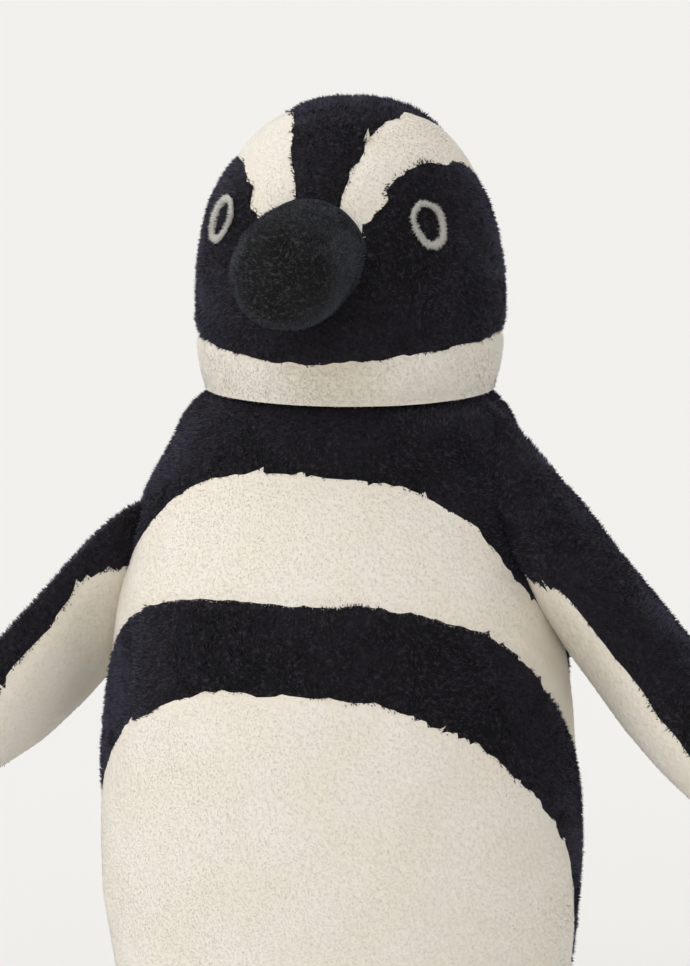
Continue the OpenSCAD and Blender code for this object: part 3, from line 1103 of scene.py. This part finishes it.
def make_flipper(side):
    """Outer and inner panel of one flipper, sorted by the sign of the distance from the seam between them,
    and the filling, which is the same form made smaller all round."""
    span = flipper_frame(side)[1]
    points = flipper_points(side, flipper_rows, flipper_cols)
    tris = grid_triangles(flipper_rows, flipper_cols, True, True)
    tris = turned_outwards(points, tris)
    normals = vertex_normals(points, tris)
    points = snap(points, normals, lambda p: flipper_seam(side, p) + stray(p), 1.5 * MM)
    skin = stuffed(points, normals, np.abs(flipper_seam(side, points)), groove=0.6 * MM)
    middle = points[tris].mean(axis=1)
    centre = flipper_seam(side, middle) + stray(middle)
    skin_normals = vertex_normals(skin, tris)
    root, normal = scatter(skin, tris, skin_normals, DENSITY)
    form_root = root + PILE_RISE * normal
    edge = flipper_seam(side, form_root) + stray(form_root) + random.normal(0, 0.3 * MM, len(root))
    kept = ~inside_body(form_root, 0.95)
    for name, kind, mine, roots in (
        ("flipper_outer_", "black_wool", centre > 0, edge > 0),
        ("flipper_inner_", "cream_wool", centre <= 0, edge <= 0),
    ):
        roots = roots & kept
        shorten = 1 - 0.18 * np.exp(-((edge[roots] / (2.5 * MM)) ** 2))
        cloth = shell(skin, skin_normals, tris[mine], CLOTH_T)
        locks = grow_locks(root[roots], normal[roots], kind, 0.9 * span + [0, 0, -0.3], shorten)
        piece = furred(name + side + "_pile", kind, cloth, locks)
        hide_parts(name + side)
        bends(piece, side)
    rows, cols = 30, 24
    points = flipper_points(side, rows, cols, inset=FILLING_INSET)
    tris = turned_outwards(points, grid_triangles(rows, cols, True, True))
    filling = plain_piece(f"flipper_filling_{side}_fibre", "filling", points, tris)
    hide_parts("flipper_filling_" + side)
    bends(filling, side)


def bends(piece, side):
    """Moves the piece's placement into its points. Where a change from body to flipper would start and end is
    worked out, but the piece is not bent.
    """
    hinge, span, _, _ = flipper_frame(side)
    start, end = hinge - 0.6 * flipper_t * span, hinge + 1.1 * flipper_t * span
    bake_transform(piece)


make_flipper("left")
make_flipper("right")

# %% [markdown]
# ## Beak
# The beak is a blunt stuffed tube in charcoal wool with a short brushed nap. A profile turned about the
# beak's axis gives the tube with its rounded end, and slow noise takes away the machine-turned look.

# %% Beak
beak_dip = math.radians(6.5)
beak_axis = np.array([0, -math.cos(beak_dip), -math.sin(beak_dip)])
beak_length = (beak_base[1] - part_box("beak_cover")[0].y) / math.cos(beak_dip) - 0.5 * MM
beak_profile = np.array(
    [[0, 25.3], [0.35, 25.3], [0.62, 24.9], [0.78, 23.4], [0.88, 20.6], [0.95, 16.0], [0.985, 9.5], [1, 0]]
)


def turned(base, axis, profile, length, rows, cols):
    """A profile of share along the axis and radius in millimetres, carried round the axis; the rows crowd
    towards the end by a sine. The first row is closed to a point behind the root."""
    across = unit(np.cross(axis, [0, 0, 1.0]))
    rise = np.cross(across, axis)
    share = np.sin(np.linspace(0, np.pi / 2, rows - 1))
    radius = through(profile, share)[:, 0] * MM
    radius[-1] = 0
    share, radius = np.append([0], share), np.append([0], radius)
    turn = 2 * np.pi * np.arange(cols) / cols
    ring = np.cos(turn)[:, None] * across + np.sin(turn)[:, None] * rise
    points = base + (length * share)[:, None, None] * axis + radius[:, None, None] * ring[None]
    return points.reshape(-1, 3)


beak_rows, beak_cols = 40, 72
beak_points = turned(beak_base, beak_axis, beak_profile, beak_length, beak_rows, beak_cols)
beak_tris = turned_outwards(beak_points, grid_triangles(beak_rows, beak_cols, True, True))
beak_normals = vertex_normals(beak_points, beak_tris)
beak_lumps = 1.0 * MM * noise(beak_points, 0.016, 91) + 0.4 * MM * noise(beak_points, 0.006, 95)
nap_depth = 1.0 * MM
beak_skin = beak_points + (beak_lumps - nap_depth)[:, None] * beak_normals
beak_density = 2.3e6
skin_normals = vertex_normals(beak_skin, beak_tris)
root, normal = scatter(beak_skin, beak_tris, skin_normals, beak_density)
out_of_head = ((root - beak_base) @ beak_axis) > 3 * MM
locks = grow_locks(root[out_of_head], normal[out_of_head], "charcoal_felt", beak_axis * 0.4)
piece = furred("beak_wool", "charcoal_felt", (beak_skin, beak_tris, skin_normals), locks)
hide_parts("beak_cover")
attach(piece, "head")

# %% [markdown]
# ## Eye rings
# Each eye is only an outline: an oval of grey-white wool needled into the black pile. A tube carried round
# the oval on the face gives the stroke, and very short locks in all directions make it fuzzy.

# %% Eye rings
EYE_DENSITY = 8.0e6


def on_head(start, look, inset):
    """The point of the head's skin met by a level line from start along look: the line in the section's
    ellipse gives a square in the distance, whose larger root is taken."""
    share = head_share(start[:, 2])
    rx, ry = head_w * share - inset, head_d * share - inset
    x, y = start[:, 0] / rx, (start[:, 1] - head_y) / ry
    dx, dy = look[0] / rx, look[1] / ry
    a, b, c = dx**2 + dy**2, x * dx + y * dy, x**2 + y**2 - 1
    return start + ((-b + np.sqrt(b * b - a * c)) / a)[:, None] * look


def eye_ring(side):
    """A tube round a slightly wobbly oval laid on the head, a little thicker on one side, as a hand-needled
    ring is."""
    steps, sides, sunk = 72, 12, 0.8 * MM
    look, across, rise = eye_frame(side)
    turn = 2 * np.pi * np.arange(steps) / steps
    wobble = 1 + 0.025 * np.sin(3 * turn + 0.6) + 0.02 * np.sin(5 * turn)
    oval = (
        np.array([0, head_y, eye_z])
        + (eye_half_w * wobble * np.cos(turn))[:, None] * across
        + (eye_half_h * wobble * np.sin(turn))[:, None] * rise
    )
    line = on_head(oval, look, sunk)
    ahead = unit(np.roll(line, -1, axis=0) - np.roll(line, 1, axis=0))
    up = unit(look - np.sum(ahead * look, axis=1, keepdims=True) * ahead)
    side_way = np.cross(ahead, up)
    around = 2 * np.pi * np.arange(sides) / sides
    heavy = -0.6 if side == "left" else math.pi
    radius = ring_r * (1 + 0.30 * np.cos(turn - heavy) + 0.12 * np.sin(4 * turn))[:, None, None]
    tube = line[:, None] + radius * (
        np.cos(around)[None, :, None] * side_way[:, None] + np.sin(around)[None, :, None] * up[:, None]
    )
    tube = tube.reshape(-1, 3)
    index = np.arange(steps * sides).reshape(steps, sides)
    nxt, beside = np.roll(index, -1, axis=0), np.roll(index, -1, axis=1)
    both = np.roll(nxt, -1, axis=1)
    tris = np.concatenate([np.stack([index, beside, both], -1), np.stack([index, both, nxt], -1)])
    tris = turned_outwards(tube, tris.reshape(-1, 3))
    normals = vertex_normals(tube, tris)
    root, normal = scatter(tube, tris, normals, EYE_DENSITY)
    locks = grow_locks(root, unit(normal + 1.2 * look), "eye_wool", np.zeros(3))
    piece = furred(f"eye_ring_{side}_wool", "eye_wool", (tube, tris, normals), locks)
    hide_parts(f"eye_ring_{side}")
    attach(piece, "head")


eye_ring("left")
eye_ring("right")

# %% [markdown]
# ## Tail, feet and base
# Below, a short flat tail in the back's pile and two webbed feet in charcoal felt. A foot is a flat-bottomed
# cushion: from a middle point, each ray ends on the outline of the three toes, and the height over it falls
# to the edge along a superellipse, which is how a stuffed flat foot rounds over.

# %% Tail
tail_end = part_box("tail_cover")[1].y
tail_root = np.array([0, 0.056, 0.050 * grow])
tail_tilt = math.radians(-15)
tail_axis = np.array([0, math.cos(tail_tilt), math.sin(tail_tilt)])
tail_up = np.array([0, -math.sin(tail_tilt), math.cos(tail_tilt)])
tail_knots = np.array(
    [[0, 30, 13], [0.4, 27, 12], [0.7, 20, 9.5], [0.9, 12, 6.8], [0.97, 6.5, 4.2], [1, 0, 0]]
)
tail_length = (tail_end - tail_root[1]) / math.cos(tail_tilt)


def tail_points(rows, cols):
    """An ellipse that narrows along the tail, with the rows crowded at its tip."""
    share = np.append([0], np.sin(np.linspace(0, np.pi / 2, rows - 1)))
    wide, thick = through(tail_knots, share).T * MM
    wide[[0, -1]] = thick[[0, -1]] = 0
    turn = 2 * np.pi * np.arange(cols) / cols
    ring = wide[:, None, None] * np.cos(turn)[None, :, None] * np.array([1.0, 0, 0])
    ring = ring + thick[:, None, None] * np.sin(turn)[None, :, None] * tail_up
    return (tail_root + (tail_length * share)[:, None, None] * tail_axis + ring).reshape(-1, 3)


tail_rows, tail_cols = 30, 48
points = tail_points(tail_rows, tail_cols)
tris = turned_outwards(points, grid_triangles(tail_rows, tail_cols, True, True))
normals = vertex_normals(points, tris)
tail_inset = 2.8 * MM
skin = points - tail_inset * normals
skin_normals = vertex_normals(skin, tris)
root, normal = scatter(skin, tris, skin_normals, DENSITY)
outside = ~inside_body(root + PILE_RISE * normal, 1.0)
shorten = np.full(outside.sum(), 0.8)
locks = grow_locks(root[outside], normal[outside], "black_wool", tail_axis, shorten)
piece = furred("tail_pile", "black_wool", (skin, tris, skin_normals), locks)
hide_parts("tail_cover")
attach(piece, "body")

# %% Feet
foot_x = 0.040
heel_y, toe_y = 0.056, 0.106
foot_splay = math.radians(8)
foot_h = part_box("foot_upper_left")[1].z
sole_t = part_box("foot_sole_left")[1].z
foot_density = 1.5e6
# rows of the grid from the edge in to the middle of the underside
UNDER_ROWS = 7


def foot_outline(turn):
    """Distance from the foot's middle to its outline in each direction: the furthest reach of a heel circle
    and three toe circles, softened by adding high powers."""
    middle = np.array([0, -0.5 * (heel_y + toe_y)])
    ways = np.stack([np.cos(turn), np.sin(turn)], axis=1)
    discs = [(0, -heel_y, 22 * MM), (6 * MM, -heel_y, 22 * MM), (-6 * MM, -heel_y, 22 * MM)]
    for i in (-1, 0, 1):
        for part in (0, 0.25, 0.5, 0.75, 1):
            x = 20 * MM * i * part + 6 * MM * i * (1 - part)
            y = -heel_y + part * (abs(i) * 6 * MM + heel_y - toe_y)
            discs.append((x, y, (22 - 10 * part) * MM))
    reach = 0
    for x, y, r in discs:
        q = middle - [x, y]
        b = ways @ q
        inside = b * b - (q @ q - r * r)
        far = np.where(inside > 0, -b + np.sqrt(np.maximum(inside, 0)), 0)
        reach = reach + np.maximum(far, 0) ** 24
    return middle, reach ** (1 / 24)


def foot_points(side, rows, cols, low, high, inset):
    """A polar grid: the top falls from the middle to the edge as a superellipse, the bottom is flat, and
    the whole is turned outwards and moved to its side."""
    s = 1 if side == "left" else -1
    turn = 2 * np.pi * np.arange(cols) / cols
    middle, reach = foot_outline(turn)
    top = np.linspace(0, np.pi / 2, rows)
    share = np.concatenate([np.sin(top) ** 0.9, np.linspace(1, 0, UNDER_ROWS + 1)[1:]])
    lift = np.concatenate([np.cos(top) ** 0.42, np.zeros(UNDER_ROWS)])
    r = share[:, None] * (reach - inset)[None]
    x, y = middle[0] + r * np.cos(turn), middle[1] + r * np.sin(turn)
    toes = 1 - 0.22 * eased((-y - heel_y) / (toe_y + 10 * MM - heel_y))
    z = low + (high - low) * lift[:, None] * toes
    c, d = math.cos(s * foot_splay), math.sin(s * foot_splay)
    return np.stack([s * foot_x + c * x - d * y, d * x + c * y, z], axis=-1).reshape(-1, 3)


def make_foot(side):
    """The felt upper with its nap, the filling under it and the flat sole, from three sizes of one form."""
    rows, cols = 22, 96
    points = foot_points(side, rows, cols, sole_t + 0.4 * MM, foot_h - 1.2 * MM, 1.2 * MM)
    tris = turned_outwards(points, grid_triangles(rows + UNDER_ROWS, cols, True, True))
    normals = vertex_normals(points, tris)
    lumps = (0.5 * MM * noise(points, 0.012, 97))[:, None]
    skin = points + lumps * normals * (points[:, 2:] > sole_t + 1 * MM)
    skin_normals = vertex_normals(skin, tris)
    root, normal = scatter(skin, tris, skin_normals, foot_density)
    shown = (normal[:, 2] > -0.2) & ~inside_body(root, 1.0)
    locks = grow_locks(root[shown], normal[shown], "charcoal_felt", (0, -0.6, -0.2))
    piece = furred(f"foot_upper_{side}_felt", "charcoal_felt", (skin, tris, skin_normals), locks)
    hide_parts(f"foot_upper_{side}")
    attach(piece, "body")

    rows, cols = 10, 48
    points = foot_points(side, rows, cols, sole_t + 1.5 * MM, foot_h - FILLING_INSET, FILLING_INSET)
    tris = turned_outwards(points, grid_triangles(rows + UNDER_ROWS, cols, True, True))
    filling = plain_piece(f"foot_filling_{side}_fibre", "filling", points, tris)
    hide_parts(f"foot_filling_{side}")
    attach(filling, "body")

    rows, cols = 10, 96
    points = foot_points(side, rows, cols, 0.3 * MM, sole_t + 0.2 * MM, 0.3 * MM)
    tris = turned_outwards(points, grid_triangles(rows + UNDER_ROWS, cols, True, True))
    sole = plain_piece(f"foot_sole_{side}_felt", "charcoal_felt", points, tris, height=0.7, parting=0.2)
    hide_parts(f"foot_sole_{side}")
    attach(sole, "body")


make_foot("left")
make_foot("right")

# %% Base panel
def base_points(rows, cols):
    """A flat round with a soft edge: from the middle of the underside out to the edge, then up and in.
    Returns the points and the number of rows."""
    half_w, half_d, middle = body_section([2 * MM])
    even = np.linspace(0, 1, rows)
    low, edge = 0.2 * MM, 0.97
    share = np.concatenate([even * edge, edge + 0.05 * np.sin(np.pi * even / 2)[1:], [0]])
    z = np.concatenate([np.full(rows, low), low + 5.5 * MM * even[1:] ** 1.5, [5.0 * MM]])
    turn = 2 * np.pi * np.arange(cols) / cols
    x = share[:, None] * half_w * np.cos(turn)
    y = middle + share[:, None] * half_d * np.sin(turn)
    return np.stack([x, y, np.broadcast_to(z[:, None], x.shape)], axis=-1).reshape(-1, 3), len(share)


base_cols = 96
points, base_rows = base_points(14, base_cols)
tris = turned_outwards(points, grid_triangles(base_rows, base_cols, True, True))
base = plain_piece("base_panel_cloth", "black_wool", points, tris, parting=0.2)
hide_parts("base_panel")
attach(base, "body")

# %% [markdown]
# ## What is inside
# The fillings of the body, head, beak and tail and the bag of pellets stay as the CAD model made them,
# because nobody sees more than their shape, and they take the finish of fibre and of cotton. Only the
# flippers and feet have fillings of their own above, since their covers are slimmer than the CAD ones.

# %% Finishes of the inner pieces
for entry in record["subparts"]:
    if entry["material_slot"] in ("filling", "pellets"):
        node = frame["nodes"][entry["node"]]
        node.data.materials.clear()
        node.data.materials.append(finishes[entry["material_slot"]])
        print(entry["node"], "takes the finish of", entry["material_slot"])

# %% [markdown]
# ## Floor and light
# A pale floor that runs out of sight meets a sky of the same tone, so no horizon shows. The sky gives the
# even light of a white studio, and one broad lamp from the upper left models the form. Lamps near the toy
# would leave pools on the floor, but a distant lamp lights the floor evenly everywhere.

# %% Sky
pale = (0.896, 0.871, 0.831)
sky = max(pale)
dim_side = np.array([0.88, -0.34, 0.25])
dimming = 0.40
dim_width = 1.4

world = bpy.data.worlds.new("studio")
world.use_nodes = True
background = world.node_tree.nodes["Background"]
start = Value(world.node_tree, None)
way = start.node("ShaderNodeTexCoord", output="Generated")
product = {"operation": "DOT_PRODUCT"}
facing = start.node("ShaderNodeVectorMath", product, {0: way, 1: dim_side}, output="Value")
strength = sky - sky * dimming * (facing * dim_width).clamped()
world.node_tree.links.new(strength.socket, background.inputs["Strength"])
background.inputs["Color"].default_value = (*[c / sky for c in pale], 1)
bpy.context.scene.world = world

# the share of an even sky's light that reaches a level floor: the same sum over directions that climb by
# the square root of an even share and turn by the golden angle
count = 4000
climb = (np.arange(count) + 0.5) / count
level = np.sqrt(1 - climb)
golden = np.arange(count) * math.pi * (3 - math.sqrt(5))
ways = np.stack([level * np.cos(golden), level * np.sin(golden), np.sqrt(climb)], axis=1)
sky_share = np.mean(1 - dimming * np.clip(dim_width * ways @ dim_side, 0, 1))
print("sky's share on the floor", round(float(sky_share), 3))

# %% Lamp
lamp_height = math.radians(50)
lamp_strength = 1.15
lamp = bpy.data.objects.new("lamp", bpy.data.lights.new("lamp", "SUN"))
lamp.data.energy = lamp_strength
lamp.data.angle = math.radians(100)
lamp.data.color = (0.98, 0.99, 1.0)
lamp.rotation_euler = (math.pi / 2 - lamp_height, 0, math.radians(-28))
bpy.context.scene.collection.objects.link(lamp)
bpy.context.scene.view_settings.view_transform = "Standard"
print("lamp stands", round(math.degrees(lamp_height)), "degrees up")

# %% Floor
floor_mesh = bpy.data.meshes.new("floor")
half = 60.0
floor_mesh.from_pydata(
    [(-half, -half, 0), (half, -half, 0), (half, half, 0), (-half, half, 0)], [], [(0, 1, 2, 3)]
)
floor = bpy.data.objects.new("floor", floor_mesh)
bpy.context.scene.collection.objects.link(floor)
floor_finish, shader, start, place = new_finish("floor")
floor_light = sky * sky_share + lamp_strength * math.sin(lamp_height) / math.pi
shader.inputs["Base Color"].default_value = (*[sky / floor_light] * 3, 1)
shader.inputs["Roughness"].default_value = 1.0
shader.inputs["Specular IOR Level"].default_value = 0.0
floor_mesh.materials.append(floor_finish)
print("floor tone", round(sky / floor_light, 3))
